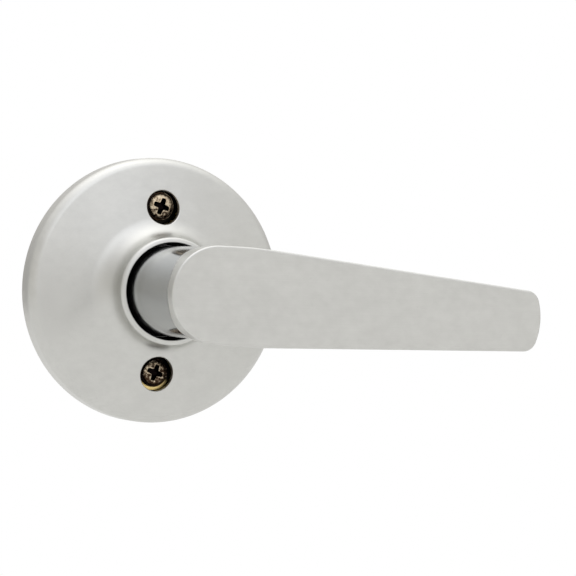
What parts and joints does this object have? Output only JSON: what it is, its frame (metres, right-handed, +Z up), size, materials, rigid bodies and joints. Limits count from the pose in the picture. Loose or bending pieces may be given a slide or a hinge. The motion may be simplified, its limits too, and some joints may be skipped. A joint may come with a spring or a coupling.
{
  "type": "lever handle lockset",
  "caption": "Inside half of a lever lockset: round rose with a raised collar, tapered lever that turns both ways and springs back, square spindle and through screws.",
  "frame": {"origin": "where the spindle's axis meets the door's face", "axes": "+Z up, +X along the lever's length, +Y through the door along the spindle, so the lever faces -Y"},
  "size_m": [0.1197, 0.0948, 0.0666],
  "materials": {
    "satin_metal": "satin plated, fine brushing",
    "yellow_zinc": "yellow zinc plated",
    "bronzed_steel": "dark bronze plated, worn on the crown",
    "plain_steel": "bare steel",
    "spring_steel": "oiled spring steel",
    "black_nylon": "matt"
  },
  "bodies": {
    "mounting": {"rose": "satin_metal", "collar_bushing": "black_nylon", "thrust_washer": "black_nylon", "mounting_plate": "yellow_zinc", "spring_cage": "plain_steel", "cage_rivet_left_upper": "plain_steel", "cage_rivet_left_lower": "plain_steel", "cage_rivet_right_upper": "plain_steel", "cage_rivet_right_lower": "plain_steel", "return_spring": "spring_steel", "wave_washer": "spring_steel", "mounting_screw_top": "bronzed_steel", "mounting_screw_bottom": "bronzed_steel", "screw_retainer_top": "black_nylon", "screw_retainer_bottom": "black_nylon"},
    "lever": {"lever": "satin_metal", "spindle_sleeve": "plain_steel", "sleeve_pin": "plain_steel", "drive_cam": "plain_steel", "cam_washer": "plain_steel", "retaining_ring": "spring_steel", "spindle": "plain_steel"}
  },
  "joints": [
    {"name": "lever_turn", "type": "hinge", "parent": "mounting", "child": "lever", "pos_m": [0, 0, 0], "axis": [0, 1, 0], "range_deg": [-50, 50], "stiffness_Nm_per_rad": 0.8, "springref_deg": -2.31, "deforming": ["return_spring"]}
  ]
}
